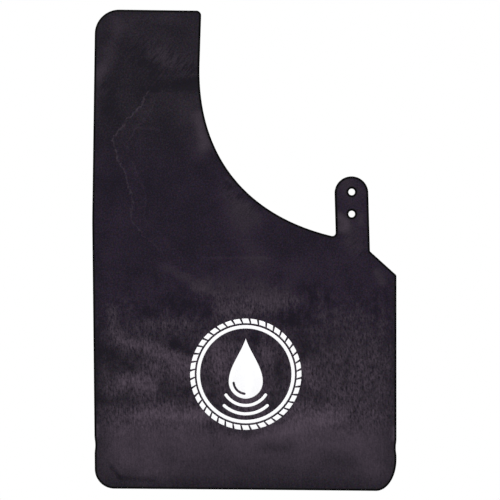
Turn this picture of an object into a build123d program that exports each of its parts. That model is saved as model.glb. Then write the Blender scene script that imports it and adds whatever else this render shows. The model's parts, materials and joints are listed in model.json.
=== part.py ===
from build123d import *
import math
import os

# Rubber mud flap with a long fixing arm, a cut-out for the wheel arch and a small fixing tab.
# Sizes are in millimetres. X runs across the flap, +Z is up and the printed front faces -Y.
# The origin is midway between the tab's two holes, on the back face of the sheet.

# Sheet
flap_width = 304.8
flap_height = 482.6
sheet_thickness = 3.2
holes_to_top = 194.1
holes_to_side = 44.8
side_bow = 2.9
bow_drop = 17.4
top_fall = 1.4
bottom_fall = 2.6

# Fixing arm
arm_width = 106.4
arm_length = 54.1
arm_lean = 1.7

# Wheel-arch cut-out: one curve that leaves the arm in line with it and runs in to the foot of the tab
arch_upper_pull = 91.5
arch_lower_pull = 93.8
arch_exit_angle = 14.2

# Fixing tab
tab_width = 33.8
tab_crown_height = 9.8
tab_foot_drop = 34.1
tab_lean_angle = 1.6
hole_diameter = 6.6
hole_spacing = 22.1

# Sloping shoulder between the tab and the straight side
shoulder_top_drop = 48.4
shoulder_height = 24.0

# Corners
arm_inner_corner = 24.5
arm_outer_corner = 4.8
tab_foot_corner = 3.5
shoulder_top_corner = 1.5
shoulder_side_corner = 2.5
bottom_inner_corner = 19.8
bottom_outer_corner_width = 20.7
bottom_outer_corner_height = 32.0
round_corner_pull = 0.5523

# Shallow nicks in the two sides
nick_depth = 1.0
nick_length = 15.0
inner_nick_height = 46.1
outer_nick_height = 43.1

# Line that the free skirt bends along
flex_line_drop = 11.5
flex_gap = 0.3

# Printed figure: tread blocks round a ring, with a water drop over two ripples
print_thickness = 0.25
tread_radius = 55.7
tread_depth = 4.6
tread_count = 40
tread_gap = 2.3
tread_slant = 20.0
ring_gap = 1.9
ring_band = 3.4
room_above_figure = 0.34
drop_radius = 17.0
drop_tip_clearance = 10.0
drop_tip_pull = 14.0
drop_side_pull = 15.0
glint_width = 2.4
glint_inset = 3.6
glint_start = 186.0
glint_sweep = 78.0
ripple_width = 3.0
ripple_gap = 5.4
ripple_clearance = 4.6
ripple_sweeps = (112.0, 84.0)

# Places worked out from the sizes above
top_z = holes_to_top
bottom_z = top_z - flap_height
outer_x = holes_to_side
bowed_x = outer_x - flap_width
inner_x = bowed_x + side_bow
inner_bottom_z = bottom_z + bottom_fall
arm_outer_x = inner_x + arm_width
neck = (arm_outer_x - arm_lean, top_z - arm_length)
shoulder_z = -shoulder_top_drop - shoulder_height
flex_z = shoulder_z - flex_line_drop
mid_sheet_y = -sheet_thickness / 2
skirt_room = flex_z - sheet_thickness / 2 - bottom_z - bottom_fall - 2 * tread_radius
figure_x = (inner_x + outer_x) / 2
figure_z = flex_z - sheet_thickness / 2 - room_above_figure * skirt_room - tread_radius
ring_outer_radius = tread_radius - tread_depth - ring_gap
ring_inner_radius = ring_outer_radius - ring_band
ripples_outer_radius = drop_radius + len(ripple_sweeps) * (ripple_gap + ripple_width)
drop_centre = ripples_outer_radius + ripple_clearance - ring_inner_radius
drop_tip = ring_inner_radius - drop_tip_clearance


def tab_side(direction, height):
    """A point on one long side of the leaning tab."""
    lean = math.radians(tab_lean_angle)
    across = direction * tab_width / 2 / math.cos(lean)
    return (across - height * math.tan(lean), height)


def bottom_edge(x):
    """A point on the falling bottom edge."""
    return (x, bottom_z + bottom_fall * (outer_x - x) / (outer_x - inner_x))


def bowed_edge_x(height):
    """How far out the bowed side lies at a height below the bow."""
    return bowed_x + side_bow * (-bow_drop - height) / (-bow_drop - inner_bottom_z)


def outline_face():
    """The flap's outline in X and Z, with sharp corners."""
    lean = math.radians(tab_lean_angle)
    crown = (-tab_crown_height * math.tan(lean), tab_crown_height)
    half_tab = tab_width / 2
    crown_left = (crown[0] - half_tab * math.cos(lean), crown[1] - half_tab * math.sin(lean))
    crown_top = (crown[0] - half_tab * math.sin(lean), crown[1] + half_tab * math.cos(lean))
    crown_right = (crown[0] + half_tab * math.cos(lean), crown[1] + half_tab * math.sin(lean))

    arm_top = (arm_outer_x, top_z - top_fall)
    along_arm = Vector(neck[0] - arm_top[0], neck[1] - arm_top[1]).normalized()
    upper_pull = Vector(*neck) + along_arm * arch_upper_pull
    foot = tab_side(-1, -tab_foot_drop)
    exit_turn = math.radians(arch_exit_angle)
    lower_pull = (
        foot[0] - arch_lower_pull * math.cos(exit_turn),
        foot[1] + arch_lower_pull * math.sin(exit_turn),
    )

    shoulder_top = tab_side(1, -shoulder_top_drop)
    shoulder_side = (outer_x, shoulder_z)
    corner_start = (outer_x, bottom_z + bottom_outer_corner_height)
    corner_end = bottom_edge(outer_x - bottom_outer_corner_width)
    rest = 1 - round_corner_pull
    corner_pulls = (
        (outer_x, bottom_z + bottom_outer_corner_height * rest),
        bottom_edge(outer_x - bottom_outer_corner_width * rest),
    )
    inner_bottom = (inner_x, inner_bottom_z)
    inner_top = (inner_x, top_z)
    bow = (bowed_x, -bow_drop)

    edges = [
        Line(inner_top, arm_top),
        Line(arm_top, neck),
        Bezier(neck, upper_pull, lower_pull, foot),
        Line(foot, crown_left),
        ThreePointArc(crown_left, crown_top, crown_right),
        Line(crown_right, shoulder_top),
        Line(shoulder_top, shoulder_side),
        Line(shoulder_side, corner_start),
        Bezier(corner_start, *corner_pulls, corner_end),
        Line(corner_end, inner_bottom),
        Line(inner_bottom, bow),
        Line(bow, inner_top),
    ]
    corners = {
        inner_top: arm_inner_corner,
        arm_top: arm_outer_corner,
        foot: tab_foot_corner,
        shoulder_top: shoulder_top_corner,
        shoulder_side: shoulder_side_corner,
        inner_bottom: bottom_inner_corner,
    }
    return make_face(edges), corners


def nick(edge_x, height, inward):
    """The round cutter for one shallow nick, on the given side."""
    radius = ((nick_length / 2) ** 2 + nick_depth**2) / (2 * nick_depth)
    return Pos(edge_x - inward * (radius - nick_depth), height) * Circle(radius)


def flap_blank():
    """The whole sheet in one piece, with its rounded corners, nicks and holes."""
    face, corners = outline_face()
    blank = extrude(Plane.XZ * face, amount=sheet_thickness)
    for (x, z), radius in corners.items():
        edge = blank.edges().filter_by(Axis.Y).sort_by_distance((x, mid_sheet_y, z))[0]
        blank = fillet(edge, radius)
    inner_nick_z = bottom_z + inner_nick_height
    cuts = [
        nick(bowed_edge_x(inner_nick_z), inner_nick_z, 1),
        nick(outer_x, bottom_z + outer_nick_height, -1),
        Pos(0, hole_spacing / 2) * Circle(hole_diameter / 2),
        Pos(0, -hole_spacing / 2) * Circle(hole_diameter / 2),
    ]
    for cut in cuts:
        blank -= extrude(Plane.XZ * cut, amount=sheet_thickness)
    return blank


def slab(low_z, high_z):
    """A block wider and thicker than the sheet, between two heights."""
    return Pos(figure_x, mid_sheet_y, (low_z + high_z) / 2) * Box(
        2 * flap_width, 2 * sheet_thickness, high_z - low_z
    )


def upper_panel(blank):
    """The arm, the panel and the tab, down to just above the bending line."""
    return blank & slab(flex_z + sheet_thickness / 2 + flex_gap, 2 * top_z)


def lower_skirt(blank):
    """The free skirt, whose top edge is a full round about the bending line."""
    round_edge = Pos(figure_x, mid_sheet_y, flex_z) * Rot(0, 90, 0) * Cylinder(
        sheet_thickness / 2, 2 * flap_width
    )
    return (blank & slab(2 * bottom_z, flex_z)) + (blank & round_edge)


def print_layer(shape):
    """A flat shape of the figure as a thin layer of ink on the front face."""
    front = Plane((figure_x, -sheet_thickness, figure_z), x_dir=(1, 0, 0), z_dir=(0, -1, 0))
    return extrude(front * shape, amount=print_thickness)


def band(radius, width, start, sweep):
    """A curved stroke about the drop's centre, with round ends."""
    line = CenterArc((0, drop_centre), radius, start, sweep)
    ends = [Pos(line @ at) * Circle(width / 2) for at in (0, 1)]
    middle = Circle(radius + width / 2) - Circle(radius - width / 2)
    reach = 2 * (radius + width)
    first, last = math.radians(start), math.radians(start + sweep)
    centre_turn = math.radians(start + sweep / 2)
    wedge = make_face(
        Polyline(
            (0, 0),
            (reach * math.cos(first), reach * math.sin(first)),
            (reach * math.cos(centre_turn), reach * math.sin(centre_turn)),
            (reach * math.cos(last), reach * math.sin(last)),
            close=True,
        )
    )
    return Pos(0, drop_centre) * (middle & wedge) + ends[0] + ends[1]


def tread_blocks():
    """Slanted blocks in a circle, like the lugs of a tyre."""
    pitch = 2 * math.pi * (tread_radius - tread_depth / 2) / tread_count
    circle = Circle(tread_radius) - Circle(tread_radius - tread_depth)
    bar = Rot(0, 0, tread_slant) * Rectangle(2 * tread_depth, pitch - tread_gap)
    block = circle & (Pos(tread_radius - tread_depth / 2, 0) * bar)
    turns = [Rot(0, 0, 360 * i / tread_count) for i in range(tread_count)]
    return Compound([print_layer(turn * block).solid() for turn in turns])


def sidewall_ring():
    """The plain ring inside the tread blocks."""
    return print_layer(Circle(ring_outer_radius) - Circle(ring_inner_radius))


def water_drop():
    """A drop with a pointed top and a round foot, and a glint left bare in it."""
    edges = []
    for side in (-1, 1):
        widest = (side * drop_radius, drop_centre)
        pulls = (
            (side * drop_radius / 4, drop_tip - drop_tip_pull),
            (side * drop_radius, drop_centre + drop_side_pull),
        )
        edges.append(Bezier((0, drop_tip), *pulls, widest))
    foot = (0, drop_centre - drop_radius)
    edges.append(ThreePointArc((-drop_radius, drop_centre), foot, (drop_radius, drop_centre)))
    glint = band(drop_radius - glint_inset - glint_width / 2, glint_width, glint_start, glint_sweep)
    return print_layer(make_face(edges) - glint)


def ripples():
    """Two curved strokes under the drop."""
    strokes = []
    for i, sweep in enumerate(ripple_sweeps):
        radius = drop_radius + (i + 1) * ripple_gap + (i + 0.5) * ripple_width
        strokes.append(print_layer(band(radius, ripple_width, 270 - sweep / 2, sweep)).solid())
    return Compound(strokes)


os.makedirs("parts", exist_ok=True)
blank = flap_blank()
parts = {
    "upper_panel": upper_panel(blank),
    "lower_skirt": lower_skirt(blank),
    "print_tread_blocks": tread_blocks(),
    "print_sidewall_ring": sidewall_ring(),
    "print_water_drop": water_drop(),
    "print_ripples": ripples(),
}
for name, shape in parts.items():
    export_step(shape, f"parts/{name}.step")
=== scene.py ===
"""Rubber mud flap: one moulded sheet with a fixing arm, a wheel-arch cut-out and a drilled tab,
and a white printed figure of a tyre tread with a water drop. Lengths are in metres."""

import json
import math

import bmesh
import bpy
from bpy.props import FloatProperty, FloatVectorProperty, IntProperty, PointerProperty
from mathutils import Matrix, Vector, noise
from mathutils.kdtree import KDTree


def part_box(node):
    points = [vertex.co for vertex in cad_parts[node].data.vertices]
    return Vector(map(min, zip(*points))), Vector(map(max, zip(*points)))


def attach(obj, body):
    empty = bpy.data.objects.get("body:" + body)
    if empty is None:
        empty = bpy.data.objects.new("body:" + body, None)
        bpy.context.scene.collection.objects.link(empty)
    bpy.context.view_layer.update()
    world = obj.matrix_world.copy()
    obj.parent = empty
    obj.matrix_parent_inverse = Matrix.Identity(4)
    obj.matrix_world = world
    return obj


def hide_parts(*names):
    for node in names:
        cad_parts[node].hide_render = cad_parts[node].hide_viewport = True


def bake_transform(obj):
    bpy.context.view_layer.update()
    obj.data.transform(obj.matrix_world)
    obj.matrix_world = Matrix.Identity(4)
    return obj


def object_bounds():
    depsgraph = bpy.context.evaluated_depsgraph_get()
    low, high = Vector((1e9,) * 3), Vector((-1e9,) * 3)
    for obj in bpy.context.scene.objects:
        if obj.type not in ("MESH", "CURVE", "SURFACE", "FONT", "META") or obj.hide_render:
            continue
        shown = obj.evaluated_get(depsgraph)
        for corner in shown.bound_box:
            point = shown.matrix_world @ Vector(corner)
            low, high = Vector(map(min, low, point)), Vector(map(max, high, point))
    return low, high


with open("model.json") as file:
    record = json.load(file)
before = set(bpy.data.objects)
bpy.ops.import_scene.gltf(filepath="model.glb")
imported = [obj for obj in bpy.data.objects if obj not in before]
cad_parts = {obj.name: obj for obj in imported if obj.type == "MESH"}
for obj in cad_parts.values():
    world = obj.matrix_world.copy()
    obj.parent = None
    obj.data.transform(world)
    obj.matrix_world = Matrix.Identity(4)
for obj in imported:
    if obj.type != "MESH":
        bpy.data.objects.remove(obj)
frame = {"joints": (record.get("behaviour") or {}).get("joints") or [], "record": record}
cad_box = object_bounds()

bl_info = {
    "name": "Rubber Mud Flap",
    "version": (1, 0, 0),
    "blender": (4, 5, 0),
    "location": "3D View > Sidebar > Mud Flap",
    "description": "Models a rubber mud flap with a printed figure, and a plain studio for it",
    "category": "Add Mesh",
}

FLAT_MAP = "flat"
BLOOM_AND_PAINTED_LIGHT = "bloom"
HATCH = "hatch"
TIDE = "tide"
EDGE_GAP = "edge_gap"
MILLIMETRE = 0.001

# The handle of a curve that draws a quarter circle of radius 1.
ROUND_PULL = 0.5523
# How far the sheet's outline may be from the CAD's, and how near two points are merged.
OUTLINE_SLIP = 0.0003
WELD = 1e-5
# Cuts along each curved stretch, and segments round a small and a large corner.
ARCH_CUTS, CROWN_CUTS, LONG_CORNER_CUTS = 72, 14, 24
DROP_TOP_CUTS, DROP_LOW_CUTS, BLOCK_CUTS = 28, 20, 5
SMALL_CORNER, SMALL_SEGMENTS, LARGE_SEGMENTS = 0.006, 8, 16
FRONT_RIM_SEGMENTS, BACK_RIM_SEGMENTS = 4, 3
HOLE_SIDES, RING_SIDES, FLOOR_SIDES = 64, 240, 96
# A drawn stroke: length of a step and reach of an end's rounding, as shares of its width. The reach is
# a hair under half, so that the two corners of an end don't meet.
STROKE_STEP, END_REACH, END_SEGMENTS = 0.7, 0.499, 8
# Turns past which an edge is rounded or shaded sharp.
OUTLINE_TURN, INK_TURN = math.radians(60), math.radians(50)
SHEET_SHARP, INK_SHARP = math.radians(40), math.radians(35)
# The sheet's material slots, and how far a face may tilt and still be in each.
FACE_SLOT, BACK_SLOT, RIM_SLOT, WALL_SLOT = range(4)
FLAT_FACING, RIM_FACING = 0.999, 0.1

# Places that the frame settles: the sheet's two faces, the bending line, the holes and the figure.
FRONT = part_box("upper_panel")[0].y
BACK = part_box("upper_panel")[1].y
BEND_LINE = Vector(frame["joints"][0]["pos_m"])
HOLES = frame["record"]["mounts"][0]["dims"]
HOLE_RADIUS = HOLES["hole_r_mm"] / 1000
HOLE_SPACING = HOLES["spacing_y_mm"] / 1000


def box_middle(node):
    """The middle of a CAD node's box."""
    low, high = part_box(node)
    return (low + high) / 2


FIGURE = box_middle("print_sidewall_ring")
TREAD_RADIUS = FIGURE.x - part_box("print_tread_blocks")[0].x
RING_RADIUS = FIGURE.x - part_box("print_sidewall_ring")[0].x
DROP_RADIUS = FIGURE.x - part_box("print_water_drop")[0].x
DROP_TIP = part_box("print_water_drop")[1].z - FIGURE.z
DROP_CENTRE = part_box("print_water_drop")[0].z - FIGURE.z + DROP_RADIUS


# ---------------------------------------------------------------------------
# Sizes and colours that a user may change
# ---------------------------------------------------------------------------


def length(name, default, description):
    """A length in metres, shown in the scene's units."""
    return FloatProperty(name=name, description=description, default=default, unit="LENGTH", precision=4)


def angle(name, degrees, description):
    """An angle, given in degrees."""
    return FloatProperty(name=name, description=description, default=math.radians(degrees), unit="ROTATION")


def colour(name, default, description):
    """A linear colour."""
    return FloatVectorProperty(
        name=name, description=description, default=default, size=3, min=0.0, max=1.0, subtype="COLOR"
    )


def share(name, default, description):
    """A plain factor."""
    return FloatProperty(name=name, description=description, default=default, subtype="FACTOR")


class SheetSizes(bpy.types.PropertyGroup):
    """Outline of the moulded sheet, measured from the middle of the tab's two holes."""

    flap_width: length("Width", 0.3048, "Widest part of the flap")
    flap_height: length("Height", 0.4826, "Highest to lowest corner")
    holes_to_top: length("Holes to top", 0.1941, "Height of the arm's top above the holes")
    holes_to_side: length("Holes to side", 0.0448, "Distance from the holes to the straight side")
    side_bow: length("Side bow", 0.0029, "How far the inner side stands out at its bow")
    bow_drop: length("Bow drop", 0.0174, "Height of the bow below the holes")
    bow_round: length("Bow rounding", 0.3, "Radius that eases the inner side round its bow")
    top_fall: length("Top fall", 0.0014, "Fall of the arm's top edge towards its outer corner")
    bottom_fall: length("Bottom fall", 0.0026, "Fall of the bottom edge towards the outer side")
    arm_width: length("Arm width", 0.1064, "Width of the arm at its top")
    arm_length: length("Arm length", 0.0541, "Straight part of the arm's outer edge")
    arm_lean: length("Arm lean", 0.0017, "How far the arm's outer edge leans in")
    arch_upper_pull: length("Arch upper pull", 0.0915, "Curve handle at the arm's end of the arch")
    arch_lower_pull: length("Arch lower pull", 0.0938, "Curve handle at the tab's end of the arch")
    arch_exit: angle("Arch exit", 14.2, "Slope of the arch where it meets the tab")
    arch_run_out: length("Arch run-out", 0.007, "Straight end of the arch before the tab")
    tab_width: length("Tab width", 0.0338, "Width of the fixing tab")
    tab_crown: length("Tab crown", 0.0098, "Height of the round end's centre above the holes")
    tab_foot_drop: length("Tab foot drop", 0.0341, "Drop from the holes to the foot of the tab")
    tab_lean: angle("Tab lean", 1.6, "Lean of the tab")
    shoulder_top_drop: length("Shoulder top", 0.0484, "Drop from the holes to the shoulder")
    shoulder_height: length("Shoulder height", 0.024, "Height of the sloping shoulder")
    arm_inner_corner: length("Arm inner corner", 0.0245, "Radius of the arm's inner corner")
    arm_outer_corner: length("Arm outer corner", 0.0048, "Radius of the arm's outer corner")
    tab_foot_corner: length("Tab foot corner", 0.0035, "Radius between the arch and the tab")
    shoulder_top_corner: length("Shoulder top corner", 0.0015, "Radius between the tab and the shoulder")
    shoulder_side_corner: length("Shoulder side corner", 0.0025, "Radius between the shoulder and the side")
    bottom_inner_corner: length("Bottom inner corner", 0.0198, "Radius of the bottom inner corner")
    bottom_outer_width: length("Bottom outer corner width", 0.0207, "Width of the long bottom corner")
    bottom_outer_height: length("Bottom outer corner height", 0.032, "Height of the long bottom corner")
    nick_depth: length("Nick depth", 0.001, "Depth of the shallow nick in each side")
    nick_length: length("Nick length", 0.015, "Length of the shallow nick in each side")
    nick_round: length("Nick rounding", 0.028, "Radius that eases the ends and middle of a nick")
    inner_nick_height: length("Inner nick height", 0.0461, "Height of the inner nick above the bottom")
    outer_nick_height: length("Outer nick height", 0.0431, "Height of the outer nick above the bottom")
    front_round: length("Front edge rounding", 0.0016, "Rounding of the edge on the printed side")
    back_round: length("Back edge rounding", 0.0005, "Rounding of the edge on the back")
    mesh_step: length("Mesh step", 0.0021, "Spacing of the grid cut into both faces")
    bend_above: length("Bend above", 0.013, "How far above its line the sheet starts to bend")
    bend_below: length("Bend below", 0.030, "How far below its line the skirt is straight again")
    crease_depth: length("Crease depth", 0.0006, "Depth of the old fold across the foot of the arm")
    crease_height: length("Crease height", 0.1205, "Height of the fold above the holes")
    crease_width: length("Crease width", 0.0055, "Half width of the fold")
    crease_reach: length("Crease reach", 0.054, "How far the fold runs in from the arm's outer edge")
    arm_curl: length("Arm curl", 0.0010, "How far the arm's top leans back")
    hem_curl: length("Hem curl", 0.0022, "How far the skirt's bottom corners curl forwards")


class FigureSizes(bpy.types.PropertyGroup):
    """Shapes of the printed figure that its outer sizes don't settle."""

    ink_height: length("Ink height", 0.0002, "How far the ink stands off the sheet")
    ink_sink: length("Ink sink", 0.00006, "How far the ink reaches into the sheet")
    ink_round: length("Ink rounding", 0.00006, "Rounding of the ink's edges")
    tread_depth: length("Tread depth", 0.0046, "Radial length of a tread block")
    tread_gap: length("Tread gap", 0.0023, "Gap between two tread blocks")
    tread_slant: angle("Tread slant", 20.0, "Slant of a tread block")
    tread_count: IntProperty(name="Tread blocks", description="Number of tread blocks", default=40, min=3)
    ring_band: length("Ring band", 0.0034, "Width of the plain ring")
    tip_pull: length("Tip pull", 0.014, "Curve handle at the drop's tip")
    side_pull: length("Side pull", 0.015, "Curve handle at the drop's widest point")
    glint_width: length("Glint width", 0.0024, "Width of the bare glint in the drop")
    glint_inset: length("Glint inset", 0.0036, "Ink left outside the glint")
    glint_start: angle("Glint start", 186.0, "Where the glint starts")
    glint_sweep: angle("Glint sweep", 78.0, "How far the glint runs round")
    ripple_width: length("Ripple width", 0.003, "Width of a ripple")
    ripple_gap: length("Ripple gap", 0.0054, "Gap between the drop and the ripples")
    inner_sweep: angle("Inner ripple sweep", 112.0, "How far the inner ripple runs round")
    outer_sweep: angle("Outer ripple sweep", 84.0, "How far the outer ripple runs round")


class Finish(bpy.types.PropertyGroup):
    """Colours and surface strengths."""

    rubber: colour("Rubber", (0.0041, 0.0025, 0.0064), "Clean rubber")
    bloom: colour("Bloom", (0.072, 0.054, 0.073), "Pale bloom and dried dust on the rubber")
    # Near-black rim colour: painted shade, the dark outline round the edge of the printed side.
    rim: colour("Rim", (0.0006, 0.0005, 0.0007), "Cut and moulded edges")
    ink: colour("Ink", (0.84, 0.84, 0.85), "Printing ink")
    sheen: share("Rubber gloss", 0.12, "Specular level of the rubber's faces")
    relief: length("Nap relief", 0.00012, "Height of the fine nap on the faces")


class StageSizes(bpy.types.PropertyGroup):
    """Camera, lights and floor."""

    frame_width: length("Frame width", 0.5006, "Width of the picture at the sheet")
    frame_x: length("Frame centre X", -0.1019, "Middle of the picture across the sheet")
    frame_z: length("Frame centre Z", -0.0471, "Middle of the picture up the sheet")
    camera_distance: length("Camera distance", 3.2, "Distance from the camera to the sheet")
    floor_drop: length("Floor drop", 0.14, "Room between the sheet's bottom edge and the floor")
    floor_size: length("Floor size", 1.4, "Radius of the floor")
    sky: share("Sky", 0.63, "Strength of the even light from all round")
    floor_tone: colour("Floor", (0.64, 0.64, 0.65), "Floor")


# ---------------------------------------------------------------------------
# Modelling helpers
# ---------------------------------------------------------------------------


def settings():
    """The four groups of values."""
    scene = bpy.context.scene
    return scene.flap_sheet, scene.flap_figure, scene.flap_finish, scene.flap_stage


def deselect_all():
    """Leaves no object selected, so that an operator acts on the new one only."""
    bpy.ops.object.select_all(action="DESELECT")


def smooth_step(value):
    """0 below 0, 1 above 1, and smooth between."""
    t = min(max(value, 0.0), 1.0)
    return t * t * (3 - 2 * t)


def select(piece, kind, test):
    """Selects the vertices, edges or faces that pass a test, and nothing else."""
    bpy.ops.mesh.select_mode(type=kind)
    bpy.ops.mesh.select_all(action="DESELECT")
    mesh = bmesh.from_edit_mesh(piece.data)
    items = {"VERT": mesh.verts, "EDGE": mesh.edges, "FACE": mesh.faces}[kind]
    chosen = [item for item in items if test(item)]
    for item in chosen:
        item.select_set(True)
    bmesh.update_edit_mesh(piece.data)
    return len(chosen)


def draw_outline(name, corners, level):
    """A flat face with a vertex at each (x, z) corner, at one depth, left open in edit mode."""
    deselect_all()
    bpy.ops.mesh.primitive_circle_add(vertices=len(corners), radius=0.1, fill_type="NGON")
    piece = bpy.context.object
    piece.name = piece.data.name = name
    bpy.ops.object.mode_set(mode="EDIT")
    mesh = bmesh.from_edit_mesh(piece.data)
    for vertex, (x, z) in zip(mesh.verts, corners):
        vertex.co = (x, level, z)
    bmesh.update_edit_mesh(piece.data)
    return piece


def near(place, vertex):
    """Whether a vertex is at an (x, z) place."""
    return abs(vertex.co.x - place[0]) < WELD and abs(vertex.co.z - place[1]) < WELD


def bezier(start, start_pull, end_pull, end, t):
    """The point at t on a curve with two handles."""
    rest = 1 - t
    weights = (rest**3, 3 * rest * rest * t, 3 * rest * t * t, t**3)
    points = (start, start_pull, end_pull, end)
    return tuple(sum(w * p[axis] for w, p in zip(weights, points)) for axis in (0, 1))


def bend_edge(piece, start, start_pull, end_pull, end, cuts):
    """Divides the straight edge between two corners and lays its new vertices on a curve."""
    found = select(
        piece,
        "EDGE",
        lambda e: any(near(start, v) for v in e.verts) and any(near(end, v) for v in e.verts),
    )
    if found != 1:
        raise RuntimeError(f"{piece.name} has {found} edges to bend at {start}")
    bpy.ops.mesh.subdivide(number_cuts=cuts)
    mesh = bmesh.from_edit_mesh(piece.data)
    whole = math.dist(start, end)
    for vertex in [v for v in mesh.verts if v.select]:
        t = math.dist(start, (vertex.co.x, vertex.co.z)) / whole
        vertex.co.x, vertex.co.z = bezier(start, start_pull, end_pull, end, t)
    bmesh.update_edit_mesh(piece.data)


def round_corner(piece, place, radius, segments):
    """Rounds one corner of a flat outline to a radius."""
    if select(piece, "VERT", lambda v: near(place, v)) != 1:
        raise RuntimeError(f"{piece.name} has no single corner at {place}")
    mesh = bmesh.from_edit_mesh(piece.data)
    corner = next(v for v in mesh.verts if v.select)
    rim = [e for e in corner.link_edges if len(e.link_faces) == 1]
    first, second = ((e.other_vert(corner).co - corner.co) for e in rim)
    turn = math.pi - first.angle(second)
    bpy.ops.mesh.bevel(
        offset=radius * math.tan(turn / 2),
        offset_type="OFFSET",
        segments=segments,
        profile=0.5,
        affect="VERTICES",
        clamp_overlap=False,
    )


def thicken(depth):
    """Pulls the whole flat shape along Y into a closed solid."""
    bpy.ops.mesh.select_mode(type="FACE")
    bpy.ops.mesh.select_all(action="SELECT")
    bpy.ops.mesh.extrude_region_move(TRANSFORM_OT_translate={"value": (0.0, depth, 0.0)})


def face_outwards():
    """Turns every face of a closed solid outwards."""
    bpy.ops.mesh.select_all(action="SELECT")
    bpy.ops.mesh.remove_doubles(threshold=WELD)
    bpy.ops.mesh.normals_make_consistent(inside=False)


def finish_edit(piece):
    """Closes edit mode and leaves the piece the only one selected."""
    bpy.ops.object.mode_set(mode="OBJECT")
    deselect_all()
    piece.select_set(True)
    bpy.context.view_layer.objects.active = piece


def apply_modifier(piece, kind, **values):
    """Adds one modifier, sets it and applies it."""
    modifier = piece.modifiers.new(kind.title(), kind)
    for key, value in values.items():
        setattr(modifier, key, value)
    bpy.ops.object.modifier_apply(modifier=modifier.name)


def map_flat(piece):
    """Lays the piece's pattern map flat, in metres across and up the sheet."""
    layer = piece.data.uv_layers.get(FLAT_MAP) or piece.data.uv_layers.new(name=FLAT_MAP)
    for loop in piece.data.loops:
        place = piece.data.vertices[loop.vertex_index].co
        layer.data[loop.index].uv = (place.x, place.z)
    piece.data.uv_layers.active = layer


# ---------------------------------------------------------------------------
# The sheet
# ---------------------------------------------------------------------------


def sheet_outline(s):
    """Corners of the sheet in order, with the radius of each that is rounded and the curved stretches."""
    top, bottom = s.holes_to_top, s.holes_to_top - s.flap_height
    outer = s.holes_to_side
    bow = (outer - s.flap_width, -s.bow_drop)
    inner = bow[0] + s.side_bow
    slope = s.bottom_fall / (outer - inner)

    def hem(x):
        return (x, bottom + slope * (outer - x))

    def inner_side(z):
        return (bow[0] + s.side_bow * (bow[1] - z) / (bow[1] - hem(inner)[1]), z)

    def tab_side(direction, z):
        return (direction * s.tab_width / 2 / math.cos(s.tab_lean) - z * math.tan(s.tab_lean), z)

    arm_top = (inner + s.arm_width, top - s.top_fall)
    neck = (arm_top[0] - s.arm_lean, top - s.arm_length)
    down_arm = (Vector(neck) - Vector(arm_top)).normalized()
    neck_pull = Vector(neck) + down_arm * s.arch_upper_pull
    foot = tab_side(-1, -s.tab_foot_drop)
    into_tab = Vector((math.cos(s.arch_exit), -math.sin(s.arch_exit)))
    arch_end = Vector(foot) - into_tab * s.arch_run_out
    arch_pull = Vector(foot) - into_tab * s.arch_lower_pull

    along = Vector((math.cos(s.tab_lean), math.sin(s.tab_lean))) * (s.tab_width / 2)
    up = Vector((-along.y, along.x))
    along_pull, up_pull = along * ROUND_PULL, up * ROUND_PULL
    crown = Vector((-s.tab_crown * math.tan(s.tab_lean), s.tab_crown))
    crown_left, crown_top, crown_right = crown - along, crown + up, crown + along

    shoulder_top = tab_side(1, -s.shoulder_top_drop)
    shoulder_side = (outer, -s.shoulder_top_drop - s.shoulder_height)
    corner_start = (outer, bottom + s.bottom_outer_height)
    corner_end = hem(outer - s.bottom_outer_width)
    corner_pulls = (
        (outer, bottom + s.bottom_outer_height * (1 - ROUND_PULL)),
        hem(outer - s.bottom_outer_width * (1 - ROUND_PULL)),
    )
    inner_bottom, inner_top = hem(inner), (inner, top)

    half = s.nick_length / 2
    outer_nick, inner_nick = bottom + s.outer_nick_height, bottom + s.inner_nick_height
    outer_middle = (outer - s.nick_depth, outer_nick)
    inner_middle = (inner_side(inner_nick)[0] + s.nick_depth, inner_nick)
    outer_nicks = [(outer, outer_nick + half), outer_middle, (outer, outer_nick - half)]
    inner_nicks = [inner_side(inner_nick - half), inner_middle, inner_side(inner_nick + half)]

    corners = [inner_top, arm_top, neck, arch_end, foot, crown_left, crown_top, crown_right]
    corners += [shoulder_top, shoulder_side, *outer_nicks, corner_start, corner_end]
    corners += [inner_bottom, *inner_nicks, bow]
    rounds = {
        inner_top: s.arm_inner_corner,
        arm_top: s.arm_outer_corner,
        foot: s.tab_foot_corner,
        shoulder_top: s.shoulder_top_corner,
        shoulder_side: s.shoulder_side_corner,
        inner_bottom: s.bottom_inner_corner,
        bow: s.bow_round,
    }
    rounds.update({place: s.nick_round for place in [*outer_nicks, *inner_nicks]})
    curves = [
        (neck, neck_pull, arch_pull, arch_end, ARCH_CUTS),
        (crown_left, crown_left + up_pull, crown_top - along_pull, crown_top, CROWN_CUTS),
        (crown_top, crown_top + along_pull, crown_right + up_pull, crown_right, CROWN_CUTS),
        (corner_start, *corner_pulls, corner_end, LONG_CORNER_CUTS),
    ]
    return [tuple(c) for c in corners], rounds, curves


def drill(piece, height):
    """Cuts one round hole through the sheet."""
    deselect_all()
    bpy.ops.mesh.primitive_cylinder_add(
        vertices=HOLE_SIDES,
        radius=HOLE_RADIUS,
        depth=4 * (BACK - FRONT),
        location=(0.0, (FRONT + BACK) / 2, height),
        rotation=(math.pi / 2, 0.0, 0.0),
    )
    punch = bpy.context.object
    deselect_all()
    piece.select_set(True)
    bpy.context.view_layer.objects.active = piece
    apply_modifier(piece, "BOOLEAN", object=punch, operation="DIFFERENCE", solver="EXACT")
    bpy.data.objects.remove(punch)


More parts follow.
